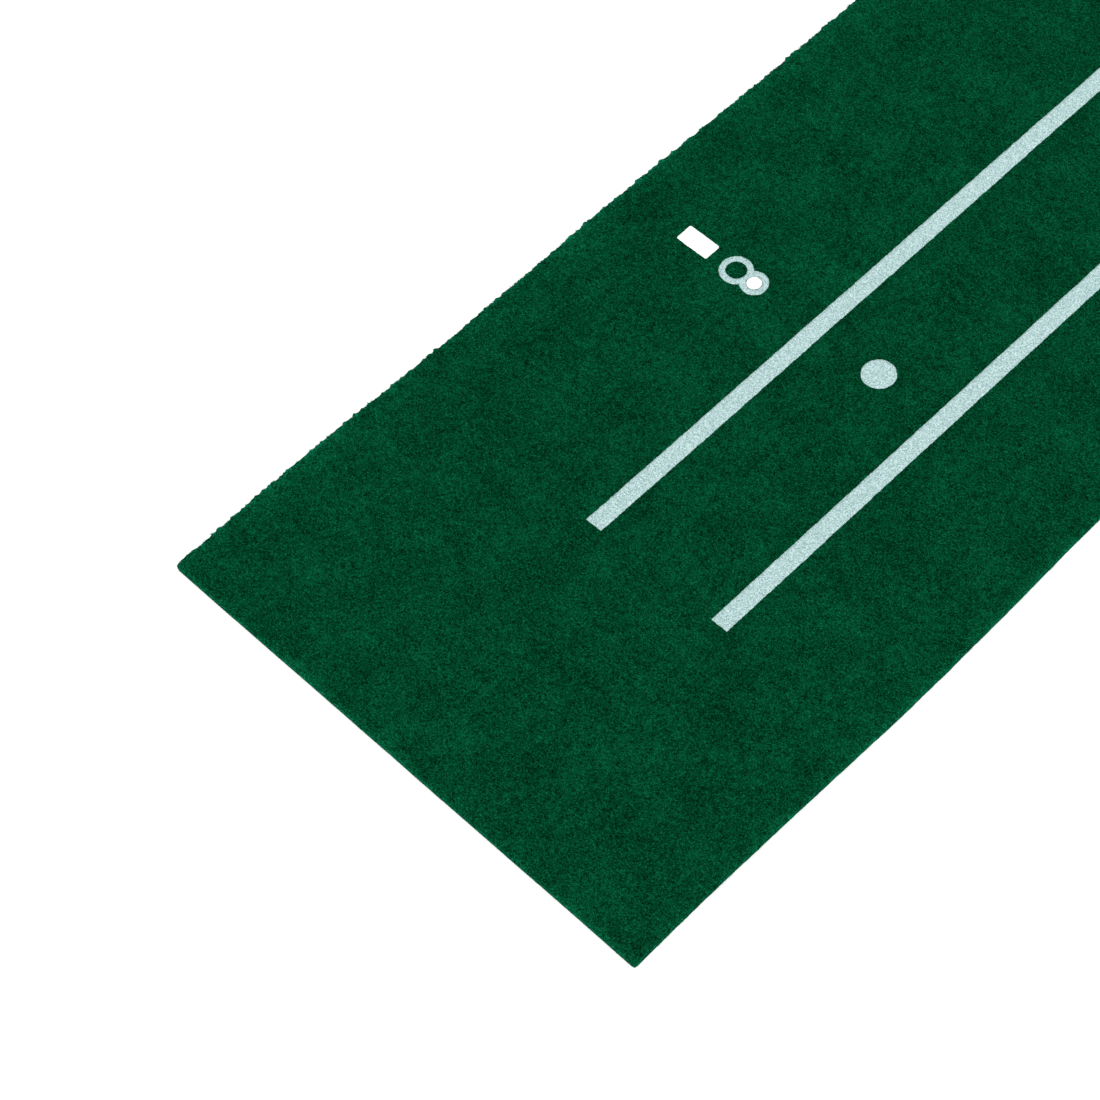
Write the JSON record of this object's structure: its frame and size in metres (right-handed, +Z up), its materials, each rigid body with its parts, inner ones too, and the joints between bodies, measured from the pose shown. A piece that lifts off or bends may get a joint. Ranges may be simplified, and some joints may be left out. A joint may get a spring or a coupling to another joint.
{
  "type": "practice putting mat",
  "caption": "Long, thin roll-out putting mat: short green pile on a rubber base, with printed lane lines, ball dots, distance numerals and a cut-out hole at the far end.",
  "frame": {"origin": "middle of the underside, on the floor", "axes": "+Y along the mat's length, from the player's end to the hole; +X to the player's right; +Z up, out of the pile"},
  "size_m": [0.4572, 3.048, 0.0063],
  "materials": {
    "turf": "matte, short curly pile",
    "backing_cloth": "matte woven scrim",
    "rubber": "matte, finely dimpled",
    "mint_print": "matte ink on the pile's tips",
    "white_print": "matte, dense ink on the pile's tips"
  },
  "bodies": {
    "root": {"rubber_base": "rubber", "pile_backing": "backing_cloth", "turf_face": "turf", "lane_line_left": "mint_print", "lane_line_right": "mint_print", "ball_dot_8ft": "mint_print", "numeral_8": "mint_print", "unit_patch_8ft": "white_print", "ball_dot_6ft": "mint_print", "numeral_6": "mint_print", "unit_patch_6ft": "white_print", "ball_dot_4ft": "mint_print", "numeral_4": "mint_print", "unit_patch_4ft": "white_print", "ball_dot_2ft": "mint_print", "numeral_2": "mint_print", "unit_patch_2ft": "white_print", "numeral_8_counter": "white_print"}
  },
  "joints": []
}
